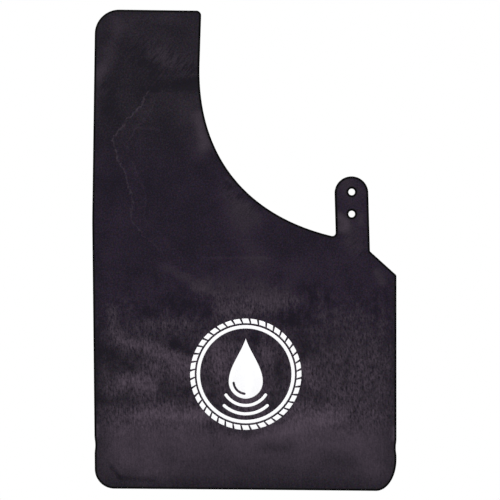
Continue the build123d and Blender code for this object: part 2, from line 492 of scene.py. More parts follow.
def round_rim(piece, level, radius, segments):
    """Rounds the sheet's edges, outline and holes alike, on one face."""
    select(
        piece,
        "EDGE",
        lambda e: all(abs(v.co.y - level) < 1e-6 for v in e.verts)
        and len(e.link_faces) == 2
        and e.calc_face_angle(0.0) > OUTLINE_TURN,
    )
    bpy.ops.mesh.bevel(
        offset=radius,
        offset_type="OFFSET",
        segments=segments,
        profile=0.5,
        affect="EDGES",
        clamp_overlap=False,
    )


def cut_grid(step):
    """Cuts the sheet through on evenly spaced planes, so that it can lie and bend smoothly."""
    low, high = cad_box
    for normal, first, last in (((1, 0, 0), low.x, high.x), ((0, 0, 1), low.z, high.z)):
        count = int((last - first) / step)
        spacing = (last - first) / count
        for i in range(1, count):
            place = [axis * (first + i * spacing) for axis in normal]
            bpy.ops.mesh.select_all(action="SELECT")
            bpy.ops.mesh.bisect(plane_co=place, plane_no=normal, use_fill=False)


# How far the fold sags and how much of a wave that makes, and how sharply it fades at its inner end.
CREASE_SAG, CREASE_BOW, CREASE_FADE = 0.004, 2.6, 2.2
# Where the arm starts to lean, the heights over which the hem and the sides start to curl, and how far
# out from the figure the sides do, as a share of half the width.
LEAN_START, HEM_RISE, SIDE_RISE, SIDE_START = 0.03, 0.075, 0.08, 0.42


def crease(s, x, z):
    """1 along the old fold across the foot of the arm, 0 away from it."""
    outer_edge = s.holes_to_side - s.flap_width + s.side_bow + s.arm_width - s.arm_lean
    inwards = (outer_edge - x) / s.crease_reach
    if inwards >= 1:
        return 0.0
    sag = CREASE_SAG * math.sin(CREASE_BOW * inwards)
    across = (z - s.crease_height + sag) / s.crease_width
    return math.exp(-across * across) * smooth_step(CREASE_FADE * (1 - inwards))


def stand_off(s, x, z):
    """How far the resting sheet stands off its flat plane at a place. The figure and tab stay flat."""
    arm = smooth_step((z - LEAN_START) / (s.holes_to_top - LEAN_START))
    hem = smooth_step((FIGURE.z - TREAD_RADIUS - z) / HEM_RISE)
    aside = min(1.0, abs(x - FIGURE.x) / (s.flap_width / 2))
    side = smooth_step((aside - SIDE_START) / (1 - SIDE_START)) * smooth_step((BEND_LINE.z - z) / SIDE_RISE)
    curl = s.hem_curl * (0.25 * hem + 0.5 * hem * aside**3 + 0.25 * side)
    return s.arm_curl * arm - curl + s.crease_depth * crease(s, x, z)


# Soft strokes of pale bloom and of painted highlight, and dark ones where the bloom is rubbed away, all in
# millimetres:
# from, to, half width and strength.
BLOOM_AND_HIGHLIGHT_STROKES = (
    # The arm
    ((-228, 178), (-252, 134), 8, 0.17),
    ((-253, 130), (-254, 100), 8, 0.10),
    ((-190, 144), (-160, 130), 9, 0.10),
    ((-212, 160), (-184, 144), 15, 0.07),
    ((-215, 186), (-180, 184), 6, 0.07),
    ((-188, 108), (-160, 96), 12, 0.03),
    ((-238, 168), (-234, 161), 9, -0.09),
    ((-238, 126), (-244, 95), 9, -0.05),
    ((-212, 152), (-203, 134), 10, -0.06),
    # Along the arch, the first two a painted highlight just inside its edge, and across the middle
    ((-151, 85), (-144, 62), 6, 0.26),
    ((-160, 92), (-148, 52), 13, 0.08),
    ((-118, 8), (-106, -20), 13, 0.14),
    ((-104, -2), (-96, -12), 8, 0.11),
    ((-122, -24), (-92, -52), 15, 0.07),
    ((-130, -62), (-80, -62), 9, 0.07),
    ((-60, -66), (0, -62), 16, 0.06),
    ((-232, -20), (-240, -70), 12, 0.04),
    # The tab and the shoulder
    ((0, 24), (2, -30), 17, 0.10),
    ((-13, -18), (-9, -25), 5, 0.34),
    ((-8, 18), (-4, 24), 8, 0.05),
    ((10, -10), (11, -18), 4, 0.12),
    ((-2, -34), (8, -46), 8, 0.08),
    ((30, -68), (33, -80), 5, 0.14),
    # The skirt as a whole, then its clouds from the top down
    ((-225, -200), (15, -200), 78, 0.25),
    ((-188, -66), (-140, -90), 5, 0.12),
    ((-150, -82), (-96, -84), 13, 0.12),
    ((-128, -104), (-70, -98), 12, 0.26),
    ((-242, -104), (-240, -130), 8, 0.14),
    ((-200, -122), (-166, -122), 6, 0.16),
    ((-228, -136), (-202, -146), 8, 0.32),
    ((-190, -152), (-158, -162), 7, 0.30),
    ((-228, -174), (-200, -182), 7, 0.31),
    ((-196, -166), (-160, -170), 6, 0.14),
    ((-214, -210), (-150, -212), 8, 0.33),
    ((-228, -228), (-160, -232), 14, 0.12),
    ((-226, -256), (-196, -262), 12, 0.12),
    ((-134, -142), (-132, -164), 9, 0.30),
    ((-118, -140), (-116, -150), 6, 0.18),
    ((-88, -146), (-82, -156), 7, 0.26),
    ((-112, -196), (-96, -200), 9, 0.28),
    ((-44, -164), (-36, -176), 7, 0.22),
    ((-30, -118), (8, -122), 14, 0.06),
    ((-4, -150), (20, -170), 18, 0.03),
    ((-60, -214), (-10, -212), 8, 0.32),
    ((-86, -228), (-30, -222), 7, 0.24),
    ((-60, -236), (10, -238), 14, 0.10),
    ((-130, -240), (-90, -238), 6, 0.10),
    ((20, -262), (36, -270), 10, 0.14),
    ((-225, -248), (15, -248), 26, 0.155),
    # Its dark places
    ((-178, -102), (-142, -106), 8, -0.11),
    ((-206, -108), (-196, -114), 7, -0.07),
    ((-68, -112), (-44, -118), 10, -0.14),
    ((-182, -140), (-164, -148), 7, -0.22),
    ((-250, -152), (-222, -162), 8, -0.20),
    ((-192, -184), (-164, -190), 9, -0.18),
    ((-252, -196), (-226, -200), 9, -0.18),
    ((-100, -134), (-96, -140), 6, -0.14),
    ((-74, -162), (-70, -176), 9, -0.20),
    ((-142, -194), (-134, -202), 8, -0.18),
    ((-86, -202), (-72, -204), 7, -0.18),
    ((-48, -144), (-40, -150), 7, -0.16),
    ((-46, -188), (-34, -194), 7, -0.16),
    ((-146, -226), (-104, -230), 5, -0.14),
    ((-86, -244), (-70, -246), 6, -0.18),
    ((-26, -258), (-8, -262), 7, -0.10),
    ((-150, -262), (-100, -268), 10, -0.06),
    ((-240, -285), (20, -287), 6, -0.06),
    ((-257, -130), (-257, -210), 7, -0.20),
    ((45, -160), (45, -215), 5, -0.14),
)

# How far away a stroke is still felt, in half widths.
STROKE_REACH = 3

# A broad and a small stir of the strokes: size and push in millimetres across and up, and the level of
# the noise that each is taken from.
STIRS = (((30, 22), (7, 6), 3.0), ((11, 8), (3.5, 3.5), 7.0))
STIR_SEED = 4

# How much darker the rubber is painted along the old fold: painted shade in the crease.
FOLD_PAINTED_SHADE = 0.13

# Small marks that keep their exact place, in the same form: painted highlights, streaks of reflected light,
# beside the two nicks, faint lines across the panel and above the fold, a dark line round the bottom
# corner, dark spots at the end of the fold and a painted highlight on the arch's edge.
SMALL_MARKS = (
    ((-255.4, -222), (-255.6, -233), 1.7, 0.75),
    ((42.4, -226), (42.4, -236), 1.7, 0.75),
    ((-218, 75.5), (-192, 74), 1.5, 0.10),
    ((-149, -55), (-86, -55), 1.5, 0.08),
    ((-241, -264), (-232, -275), 2.2, -0.20),
    ((-232, -275), (-196, -278), 2.2, -0.16),
    ((-201, 113.5), (-195, 113.5), 1.8, -0.30),
    ((-210, 114), (-207, 114), 1.6, -0.20),
    ((-126, 25), (-118, 19), 1.8, 0.12),
    ((-194, 127.5), (-156, 129), 1.8, 0.05),
)

# Where short dark scuffs cross the arm, the fold, the tab's foot and the panel, in the same form.
SCUFF_STROKES = (
    ((-216, 156), (-198, 136), 12, 0.7),
    ((-186, 150), (-162, 132), 10, 0.7),
    ((-246, 120), (-238, 88), 9, 0.4),
    ((-194, 119), (-156, 118), 4, 0.8),
    ((-2, -36), (10, -50), 9, 0.4),
    ((-124, 16), (-100, -6), 10, 0.5),
)

# The wandering line that dried water left down the arm, from the fold to the skirt.
TIDE_LINE = (
    ((-190, 127), (-207, 110), (-216, 92), (-229, 78), (-240, 64), (-235, 47), (-225, 23))
    + ((-219, 4), (-221, -17), (-210, -32), (-196, -43), (-184, -58), (-166, -72), (-142, -86))
)


def nearest_on(start, end, x, z):
    """The distance in millimetres from a place to a stretch, and which side of it the place is on."""
    run_x, run_z = end[0] - start[0], end[1] - start[1]
    from_x, from_z = x - start[0], z - start[1]
    along = (from_x * run_x + from_z * run_z) / (run_x * run_x + run_z * run_z)
    along = min(max(along, 0.0), 1.0)
    side = 1 if run_x * from_z - run_z * from_x > 0 else -1
    return math.hypot(from_x - along * run_x, from_z - along * run_z), side


def stirred(x, z):
    """A place in millimetres, pushed about a little so that the strokes come out uneven."""
    pushed_x, pushed_z = x, z
    for (wide, high), (across, up), level in STIRS:
        push = noise.noise_vector(Vector((x / wide, z / high, level)))
        pushed_x += across * push.x
        pushed_z += up * push.y
    return pushed_x, pushed_z


def stroke_sum(strokes, x, z):
    """All the soft strokes together at a place."""
    total = 0.0
    for start, end, half_width, strength in strokes:
        away = nearest_on(start, end, x, z)[0] / half_width
        if away < STROKE_REACH:
            total += strength * math.exp(-away * away)
    return total


def tide_distance(x, z):
    """The distance in metres from the tide line, negative on its dark side."""
    away, side = min(nearest_on(start, end, x, z) for start, end in zip(TIDE_LINE, TIDE_LINE[1:]))
    return away * side * MILLIMETRE


def rim_places(mesh):
    """A search tree of the places where the faces meet the rounded edges."""
    flat_slots = (FACE_SLOT, BACK_SLOT)
    faces = {i for face in mesh.polygons if face.material_index in flat_slots for i in face.vertices}
    rims = {i for face in mesh.polygons if face.material_index not in flat_slots for i in face.vertices}
    meeting = rims & faces
    tree = KDTree(len(meeting))
    for i in meeting:
        tree.insert(mesh.vertices[i].co, i)
    tree.balance()
    return tree


def lay_sheet(piece, s):
    """Gives the flat sheet its pattern map and marks, and its slight curl and crease."""
    map_flat(piece)
    mesh = piece.data
    tree = rim_places(mesh)
    names = (BLOOM_AND_PAINTED_LIGHT, HATCH, TIDE, EDGE_GAP)
    for name in names:
        mesh.attributes.new(name, "FLOAT", "POINT")
    bloom, hatch, tide, gap = (mesh.attributes[name].data for name in names)
    noise.seed_set(STIR_SEED)
    for i, vertex in enumerate(mesh.vertices):
        x, z = vertex.co.x / MILLIMETRE, vertex.co.z / MILLIMETRE
        # Painted shade along the fold is taken off the bloom mark, which also carries the painted
        # highlights among the strokes.
        fold = FOLD_PAINTED_SHADE * crease(s, vertex.co.x, vertex.co.z)
        bloom[i].value = stroke_sum(BLOOM_AND_HIGHLIGHT_STROKES, *stirred(x, z)) + stroke_sum(SMALL_MARKS, x, z) - fold
        hatch[i].value = stroke_sum(SCUFF_STROKES, x, z)
        tide[i].value = tide_distance(x, z)
        gap[i].value = tree.find(vertex.co)[2]
        vertex.co.y += stand_off(s, vertex.co.x, vertex.co.z)


def check_outline(piece):
    """Stops the script if the sheet's outline has left that of the CAD."""
    boxes = [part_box(node) for node in ("upper_panel", "lower_skirt")]
    places = [vertex.co for vertex in piece.data.vertices]
    for axis in (0, 2):
        for side, furthest in enumerate((min, max)):
            wanted = furthest(box[side][axis] for box in boxes)
            slip = furthest(place[axis] for place in places) - wanted
            if abs(slip) > OUTLINE_SLIP:
                raise RuntimeError(f"the sheet's outline is off by {slip:.4f} m along axis {axis}")


def colour_sheet(piece):
    """Puts the face, back, rounded rim and wall materials where they belong."""
    for material in (rubber_face(), rubber_back(), rubber_rim(), rubber_wall()):
        piece.data.materials.append(material)
    for polygon in piece.data.polygons:
        facing = polygon.normal.y
        if facing < -FLAT_FACING:
            polygon.material_index = FACE_SLOT
        elif facing > FLAT_FACING:
            polygon.material_index = BACK_SLOT
        elif facing < -RIM_FACING:
            polygon.material_index = RIM_SLOT
        else:
            polygon.material_index = WALL_SLOT


class MakeSheet(bpy.types.Operator):
    """Model the moulded rubber sheet with its arm, arch cut-out, tab and skirt"""

    bl_idname = "mud_flap.sheet"
    bl_label = "Rubber Sheet"
    bl_options = {"REGISTER", "UNDO"}

    def execute(self, context):
        s = context.scene.flap_sheet
        corners, rounds, curves = sheet_outline(s)
        piece = draw_outline("flap_sheet", corners, FRONT)
        for place, radius in rounds.items():
            round_corner(piece, place, radius, SMALL_SEGMENTS if radius < SMALL_CORNER else LARGE_SEGMENTS)
        for curve in curves:
            bend_edge(piece, *curve)
        thicken(BACK - FRONT)
        face_outwards()
        finish_edit(piece)
        for height in (HOLE_SPACING / 2, -HOLE_SPACING / 2):
            drill(piece, height)
        bpy.ops.object.mode_set(mode="EDIT")
        round_rim(piece, FRONT, s.front_round, FRONT_RIM_SEGMENTS)
        round_rim(piece, BACK, s.back_round, BACK_RIM_SEGMENTS)
        cut_grid(s.mesh_step)
        face_outwards()
        finish_edit(piece)
        check_outline(piece)
        colour_sheet(piece)
        lay_sheet(piece, s)
        bpy.ops.object.shade_smooth_by_angle(angle=SHEET_SHARP)
        apply_modifier(piece, "WEIGHTED_NORMAL", keep_sharp=True, weight=60)
        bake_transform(piece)
        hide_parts("upper_panel", "lower_skirt")
        return {"FINISHED"}


# ---------------------------------------------------------------------------
# The printed figure
# ---------------------------------------------------------------------------


def ink_levels(f):
    """Depths of the ink's outer face and of its foot in the sheet."""
    return FRONT - f.ink_height, FRONT + f.ink_sink


def finish_ink(piece, f, node):
    """Closes a piece of ink, eases its edges, colours it and fixes it to the skirt."""
    face_outwards()
    finish_edit(piece)
    edges = {"limit_method": "ANGLE", "angle_limit": INK_TURN}
    apply_modifier(piece, "BEVEL", width=f.ink_round, segments=2, **edges)
    map_flat(piece)
    piece.data.materials.append(white_ink())
    bpy.ops.object.shade_smooth_by_angle(angle=INK_SHARP)
    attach(piece, "free_skirt")
    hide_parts(node)


def figure_point(x, z):
    """A place on the sheet from one measured from the figure's middle."""
    return (FIGURE.x + x, FIGURE.z + z)


class MakeTreadBlocks(bpy.types.Operator):
    """Model the circle of slanted tread blocks, one block copied round"""

    bl_idname = "mud_flap.tread_blocks"
    bl_label = "Tread Blocks"
    bl_options = {"REGISTER", "UNDO"}

    def execute(self, context):
        f = context.scene.flap_figure
        face, foot = ink_levels(f)
        middle = TREAD_RADIUS - f.tread_depth / 2
        half = (2 * math.pi * middle / f.tread_count - f.tread_gap) / 2
        along = Vector((math.cos(f.tread_slant), math.sin(f.tread_slant)))
        across = Vector((-along.y, along.x)) * half

        def block_corner(side, radius):
            start = Vector((middle, 0.0)) + side * across
            dot = start.dot(along)
            reach = -dot + math.sqrt(dot * dot - start.length_squared + radius * radius)
            return start + along * reach

        ends = [(1, TREAD_RADIUS), (-1, TREAD_RADIUS), (-1, TREAD_RADIUS - f.tread_depth)]
        ends.append((1, TREAD_RADIUS - f.tread_depth))
        corners = [figure_point(*block_corner(*end)) for end in ends]
        piece = draw_outline("figure_tread_blocks", corners, face)
        for first, second in ((0, 1), (2, 3)):
            start, end = Vector(corners[first]), Vector(corners[second])
            centre = Vector(figure_point(0.0, 0.0))
            pull = (start - end).length / 3
            turns = [Vector((-(p - centre).y, (p - centre).x)).normalized() * pull for p in (start, end)]
            way = 1 if turns[0].dot(end - start) > 0 else -1
            pulls = (start + way * turns[0], end - way * turns[1])
            bend_edge(piece, tuple(start), *pulls, tuple(end), BLOCK_CUTS)
        thicken(foot - face)
        bpy.ops.mesh.select_all(action="SELECT")
        bpy.ops.mesh.spin(
            steps=f.tread_count - 1,
            dupli=True,
            angle=2 * math.pi * (f.tread_count - 1) / f.tread_count,
            center=(FIGURE.x, 0.0, FIGURE.z),
            axis=(0.0, 1.0, 0.0),
        )
        finish_ink(piece, f, "print_tread_blocks")
        return {"FINISHED"}


class MakeSidewallRing(bpy.types.Operator):
    """Model the plain ring inside the tread blocks"""

    bl_idname = "mud_flap.sidewall_ring"
    bl_label = "Sidewall Ring"
    bl_options = {"REGISTER", "UNDO"}

    def execute(self, context):
        f = context.scene.flap_figure
        face, foot = ink_levels(f)
        deselect_all()
        bpy.ops.mesh.primitive_circle_add(
            vertices=RING_SIDES,
            radius=RING_RADIUS,
            location=(FIGURE.x, face, FIGURE.z),
            rotation=(math.pi / 2, 0.0, 0.0),
        )
        piece = bpy.context.object
        piece.name = piece.data.name = "figure_sidewall_ring"
        bpy.ops.object.transform_apply(location=True, rotation=True, scale=True)
        bpy.ops.object.mode_set(mode="EDIT")
        bpy.ops.mesh.select_all(action="SELECT")
        bpy.ops.mesh.extrude_edges_move()
        inside = (RING_RADIUS - f.ring_band) / RING_RADIUS
        bpy.ops.transform.resize(value=(inside, 1.0, inside), center_override=(FIGURE.x, face, FIGURE.z))
        thicken(foot - face)
        finish_ink(piece, f, "print_sidewall_ring")
        return {"FINISHED"}


def draw_stroke(name, radius, width, start, sweep, level):
    """A curved stroke with round ends about the drop's middle, flat and open in edit mode."""
    centre = (FIGURE.x, level, FIGURE.z + DROP_CENTRE)
    end_turn = width / 2 / radius
    start, sweep = start - end_turn, sweep + 2 * end_turn
    steps = max(1, int(radius * sweep / (STROKE_STEP * width)))
    deselect_all()
    bpy.ops.mesh.primitive_plane_add(size=width, location=(centre[0] + radius, level, centre[2]))
    piece = bpy.context.object
    piece.name = piece.data.name = name
    bpy.ops.object.transform_apply(location=True, rotation=True, scale=True)
    bpy.ops.object.mode_set(mode="EDIT")
    select(piece, "VERT", lambda v: v.co.y > level)
    bpy.ops.mesh.delete(type="VERT")
    mesh = bmesh.from_edit_mesh(piece.data)
    for vertex in mesh.verts:
        reach = vertex.co.x - centre[0]
        vertex.co = (centre[0] + reach * math.cos(start), level, centre[2] + reach * math.sin(start))
    bmesh.update_edit_mesh(piece.data)
    bpy.ops.mesh.select_all(action="SELECT")
    bpy.ops.mesh.spin(steps=steps, angle=sweep, center=centre, axis=(0.0, 1.0, 0.0))
    select(piece, "VERT", lambda v: len(v.link_faces) == 1)
    bpy.ops.mesh.bevel(
        offset=END_REACH * width,
        offset_type="OFFSET",
        segments=END_SEGMENTS,
        profile=0.5,
        affect="VERTICES",
        clamp_overlap=False,
    )
    return piece


class MakeWaterDrop(bpy.types.Operator):
    """Model the water drop with its bare glint"""

    bl_idname = "mud_flap.water_drop"
    bl_label = "Water Drop"
    bl_options = {"REGISTER", "UNDO"}

    def execute(self, context):
        f = context.scene.flap_figure
        face, foot = ink_levels(f)
        tip, base = figure_point(0, DROP_TIP), figure_point(0, DROP_CENTRE - DROP_RADIUS)
        left, right = (figure_point(side * DROP_RADIUS, DROP_CENTRE) for side in (-1, 1))
        piece = draw_outline("figure_water_drop", [tip, right, base, left], face)
        round_reach = DROP_RADIUS * ROUND_PULL
        for side, widest in ((1, right), (-1, left)):
            tip_pull = figure_point(side * DROP_RADIUS / 4, DROP_TIP - f.tip_pull)
            bend_edge(piece, tip, tip_pull, (widest[0], widest[1] + f.side_pull), widest, DROP_TOP_CUTS)
            pulls = (widest[0], widest[1] - round_reach), (base[0] + side * round_reach, base[1])
            bend_edge(piece, widest, *pulls, base, DROP_LOW_CUTS)
        thicken(foot - face)
        face_outwards()
        finish_edit(piece)
        middle = DROP_RADIUS - f.glint_inset - f.glint_width / 2
        glint = draw_stroke("glint", middle, f.glint_width, f.glint_start, f.glint_sweep, 2 * face - foot)
        thicken(3 * (foot - face))
        face_outwards()
        finish_edit(glint)
        finish_edit(piece)
        apply_modifier(piece, "BOOLEAN", object=glint, operation="DIFFERENCE", solver="EXACT")
        bpy.data.objects.remove(glint)
        bpy.ops.object.mode_set(mode="EDIT")
        finish_ink(piece, f, "print_water_drop")
        return {"FINISHED"}


class MakeRipples(bpy.types.Operator):
    """Model the two ripples under the drop"""

    bl_idname = "mud_flap.ripples"
    bl_label = "Ripples"
    bl_options = {"REGISTER", "UNDO"}

    def execute(self, context):
        f = context.scene.flap_figure
        face, foot = ink_levels(f)
        strokes = []
        for i, sweep in enumerate((f.inner_sweep, f.outer_sweep)):
            radius = DROP_RADIUS + (i + 1) * f.ripple_gap + (i + 0.5) * f.ripple_width
            start = 1.5 * math.pi - sweep / 2
            stroke = draw_stroke(f"ripple_{i}", radius, f.ripple_width, start, sweep, face)
            thicken(foot - face)
            finish_edit(stroke)
            strokes.append(stroke)
        for stroke in strokes:
            stroke.select_set(True)
        bpy.context.view_layer.objects.active = strokes[0]
        bpy.ops.object.join()
        piece = bpy.context.object
        piece.name = piece.data.name = "figure_ripples"
        bpy.ops.object.mode_set(mode="EDIT")
        finish_ink(piece, f, "print_ripples")
        return {"FINISHED"}


# ---------------------------------------------------------------------------
# Materials
# ---------------------------------------------------------------------------

# The cast that the clean rubber takes across the middle of the sheet.
VIOLET = (0.98, 0.79, 1.12)


class Recipe:
    """Adds nodes to one material and joins them up."""

    def __init__(self, name):
        self.material = bpy.data.materials.new(name)
        self.material.use_nodes = True
        self.nodes = self.material.node_tree.nodes
        self.shader = self.nodes["Principled BSDF"]

    def join(self, value, socket):
        """Feeds a socket from another socket, or sets it to a plain value."""
        if isinstance(value, bpy.types.NodeSocket):
            self.material.node_tree.links.new(value, socket)
        else:
            socket.default_value = value

    def add(self, kind, inputs=(), output=0, **values):
        """Adds a node, sets it and gives back one of its outputs."""
        node = self.nodes.new("ShaderNode" + kind)
        for key, value in values.items():
            setattr(node, key, value)
        for key, value in dict(inputs).items():
            self.join(value, node.inputs[key])
        return node.outputs[output]

    def flat(self, across=1.0, up=1.0, turn=0.0):
        """The pattern map, turned, then drawn out by a smaller scale across or up the sheet."""
        place = self.add("UVMap", uv_map=FLAT_MAP)
        if turn:
            levels = {"Vector": place, "Angle": math.radians(turn)}
            place = self.add("VectorRotate", levels, rotation_type="Z_AXIS")
        if across == up == 1.0:
            return place
        return self.add("VectorMath", {0: place, 1: (across, up, 1.0)}, operation="MULTIPLY")

    def mark(self, name):
        """One of the marks that the sheet's points carry."""
        return self.add("Attribute", attribute_name=name, output=2)

    def swing(self, value, amount):
        """A noise made to swing evenly either side of nothing."""
        return self.math("MULTIPLY", self.math("SUBTRACT", value, 0.5), amount)

    def speckle(self, amount):
        """A fine speckle that swings red, green and blue apart, either side of white."""
        specks = self.noise(self.flat(), 460, 0)
        colours = specks.node.outputs["Color"]
        levels = {0: colours, 1: (amount,) * 3, 2: (1 - amount / 2,) * 3}
        return self.add("VectorMath", levels, operation="MULTIPLY_ADD")

    def total(self, *values):
        """All the values added up."""
        whole = values[0]
        for value in values[1:]:
            whole = self.math("ADD", whole, value)
        return whole

    def noise(self, vector, scale, detail=3.0, roughness=0.55, distortion=0.0):
        """A flat noise with a number of features to the metre."""
        levels = {"Vector": vector, "Scale": scale, "Detail": detail}
        levels.update({"Roughness": roughness, "Distortion": distortion})
        return self.add("TexNoise", levels, noise_dimensions="2D")

    def math(self, operation, first, second=0.0, third=0.0, clamp=False):
        """One sum on two or three values."""
        return self.add("Math", {0: first, 1: second, 2: third}, operation=operation, use_clamp=clamp)

    def remap(self, value, low, high, to_low=0.0, to_high=1.0, kind="SMOOTHSTEP"):
        """Moves a range of values to another, smoothly at both ends unless another kind is asked for."""
        levels = {0: value, 1: low, 2: high, 3: to_low, 4: to_high}
        return self.add("MapRange", levels, interpolation_type=kind)

    def mix_value(self, factor, first, second):
        """Mixes two values."""
        return self.add("Mix", {0: factor, 2: first, 3: second}, data_type="FLOAT")

    def mix(self, factor, first, second, blend="MIX"):
        """Mixes two colours."""
        levels = {0: factor, 6: first, 7: second}
        return self.add("Mix", levels, output=2, data_type="RGBA", blend_type=blend)

    def bump(self, height, distance, strength=1.0, under=None):
        """A bump of a real height, over another one if that is given."""
        inputs = {"Height": height, "Distance": distance, "Strength": strength}
        if under is not None:
            inputs["Normal"] = under
        return self.add("Bump", inputs)

    def finish(self, **inputs):
        """Sets the shader's sockets, whose names are given with _ for a space."""
        for key, value in inputs.items():
            self.join(value, self.shader.inputs[key.replace("_", " ")])
        return self.material


def opaque(rgb):
    """A colour with its alpha."""
    return (*rgb, 1.0)


def tide_mark(r, height):
    """A thin pale line with a faint band on its inner side, fading out at both ends."""
    wobble = r.total(r.swing(r.noise(r.flat(), 55, 3), 0.008), r.swing(r.noise(r.flat(), 260, 2), 0.0042))
    away = r.math("ADD", r.mark(TIDE), wobble)
    line = r.remap(r.math("ABSOLUTE", away), 0.0012, 0.0002, 0.0, 0.30)
    inner = r.remap(r.math("ABSOLUTE", r.math("SUBTRACT", away, 0.012)), 0.0013, 0.0003, 0.0, 0.08)
    band = r.math("MULTIPLY", r.remap(away, -0.0004, 0.0012), r.remap(away, 0.015, 0.010, 0.0, 0.045))
    lower = r.remap(height, -0.088, 0.045, 0.16, 1.0)
    ends = r.math("MULTIPLY", lower, r.remap(height, 0.130, 0.100))
    broken = r.remap(r.noise(r.flat(), 210, 3), 0.34, 0.60, 0.22, 1.0)
    return r.math("MULTIPLY", r.total(line, inner, band), r.math("MULTIPLY", ends, broken))


def face_nap(r):
    """A fine nap, mostly upright and partly slanted."""
    upright = r.noise(r.flat(1.0, 0.36), 500, 2, 0.7)
    slanted = r.noise(r.flat(1.0, 0.42, -28), 560, 2, 0.7)
    return r.math("MULTIPLY_ADD", upright, 0.62, r.math("MULTIPLY", slanted, 0.38))


def face_clouds(r, height, drift, skirt, nap):
    """The pale bloom, with the painted fold shade and painted highlights that the sheet's own marks carry,
    broken up by drift and, on the skirt, by clumps and nap.
    """
    clumps = r.noise(r.flat(1.0, 0.7), 110, 4, 0.62)
    brushed = r.math("MULTIPLY", skirt, r.remap(height, -0.245, -0.205, 0.30, 1.0))
    broken = r.math("MULTIPLY", r.swing(clumps, 0.46), brushed)
    cloudy = r.total(r.mark(BLOOM_AND_PAINTED_LIGHT), r.swing(drift, 0.20), broken)
    napped = r.math("MULTIPLY", r.remap(cloudy, 0.0, 0.32, 0.15, 1.0), brushed)
    cloudy = r.math("ADD", cloudy, r.math("MULTIPLY", r.swing(nap, 2.1), napped))
    edges = r.remap(r.mark(EDGE_GAP), 0.0005, 0.017, 0.60, 1.0)
    return r.math("MULTIPLY", cloudy, r.mix_value(skirt, 1.0, edges))


def face_colour(r, finish, height, pale, settled):
    """Rubber under bloom, with a violet cast and a speckle where it is clean, and black at its edge:
    painted shade that draws a dark outline.
    """
    base = r.mix(r.math("ADD", pale, 0.0, clamp=True), opaque(finish.rubber), opaque(finish.bloom))
    middle = r.remap(r.math("ABSOLUTE", r.math("ADD", height, 0.036)), 0.135, 0.055)
    clean = r.remap(settled, 0.04, 0.20, 1.0, 0.0)
    base = r.mix(r.math("MULTIPLY", middle, clean), base, r.mix(1.0, base, opaque(VIOLET), "MULTIPLY"))
    specks = r.remap(settled, 0.02, 0.22, 1.0, 0.05)
    base = r.mix(specks, base, r.mix(1.0, base, r.speckle(0.98), "MULTIPLY"))
    # Painted shade: near-black within about a millimetre of the rim, the dark outline round the edge.
    painted_outline_shade = r.remap(r.mark(EDGE_GAP), 0.0002, 0.0011, 0.04, 1.0)
    return r.mix(1.0, base, painted_outline_shade, "MULTIPLY")


def rubber_face():
    """The printed side: near-black rubber with pale bloom, an upright nap, scuffs and a tide line, and
    painted shade and highlights: a dark outline at the edge, shade in the fold, highlights by the nicks and
    on the arch.
    """
    _, _, finish, _ = settings()
    r = Recipe("rubber_face")
    height = r.add("SeparateXYZ", {0: r.flat()}, output=1)
    drift = r.noise(r.flat(), 36, 4, 0.6)
    grain = r.noise(r.flat(), 640, 2, 0.8)
    streaks = r.noise(r.flat(1.0, 0.03), 500, 2)
    scuffs = r.remap(r.noise(r.flat(1.0, 0.16, 38), 460, 2), 0.46, 0.64, 0.0, -0.22)
    skirt = r.remap(r.math("ADD", height, r.swing(drift, 0.09)), -0.058, -0.112)
    nap = face_nap(r)
    cloudy = face_clouds(r, height, drift, skirt, nap)
    settled = r.math("ADD", cloudy, tide_mark(r, height))
    pale = r.total(
        settled,
        0.058,
        r.swing(grain, 0.46),
        r.math("MULTIPLY", r.swing(streaks, 0.10), skirt),
        r.math("MULTIPLY", scuffs, r.mark(HATCH)),
    )
    relief = r.math("ADD", r.math("MULTIPLY", nap, 0.6), r.math("MULTIPLY", grain, 0.5))
    wave = r.bump(r.noise(r.flat(), 90, 3), 0.0006, 0.5)
    return r.finish(
        Base_Color=face_colour(r, finish, height, pale, settled),
        Roughness=r.remap(cloudy, 0.0, 0.5, 0.66, 0.82),
        Specular_IOR_Level=finish.sheen,
        Normal=r.bump(relief, finish.relief, 0.8, wave),
    )


def rubber_back():
    """The plain side: an even moulded grain with faint drag lines, rubs and a little dust."""
    _, _, finish, _ = settings()
    r = Recipe("rubber_back")
    grains = {"Vector": r.flat(), "Scale": 620}
    pebble = r.add("TexVoronoi", grains, voronoi_dimensions="2D", feature="SMOOTH_F1")
    dust = r.remap(r.noise(r.flat(), 22, 6, 0.66), 0.42, 0.72, 0.02, 0.13)
    drag = r.remap(r.noise(r.flat(0.03, 1.0), 330, 3), 0.45, 0.72, 0.0, 0.07)
    rubs = r.remap(r.noise(r.flat(1.0, 0.12, 52), 200, 2), 0.66, 0.80, 0.0, 0.10)
    grain = r.swing(r.noise(r.flat(), 640, 2, 0.8), 0.40)
    pale = r.total(dust, drag, rubs, grain, 0.06)
    base = r.mix(r.math("ADD", pale, 0.0, clamp=True), opaque(finish.rubber), opaque(finish.bloom))
    edge = r.remap(r.mark(EDGE_GAP), 0.0002, 0.004, 0.45, 1.0)
    return r.finish(
        Base_Color=r.mix(1.0, base, edge, "MULTIPLY"),
        Roughness=r.remap(rubs, 0.0, 0.1, 0.72, 0.58),
        Specular_IOR_Level=0.2,
        Normal=r.bump(pebble, 0.00025, 0.9, r.bump(r.noise(r.flat(), 60, 3), 0.0008, 0.5)),
    )


def rubber_rim():
    """The rounded rim of the printed side: blacker than the faces, a painted shade that draws the dark
    outline round the edge.
    """
    _, _, finish, _ = settings()
    r = Recipe("rubber_rim")
    scuffs = r.remap(r.noise(r.flat(), 300, 4, 0.7), 0.55, 0.8)
    return r.finish(
        Base_Color=r.mix(r.math("MULTIPLY", scuffs, 0.3), opaque(finish.rim), opaque(finish.rubber)),
        Roughness=r.remap(scuffs, 0.0, 1.0, 0.5, 0.7),
        Specular_IOR_Level=0.02,
        Normal=r.bump(scuffs, 0.00008, 0.7),
    )


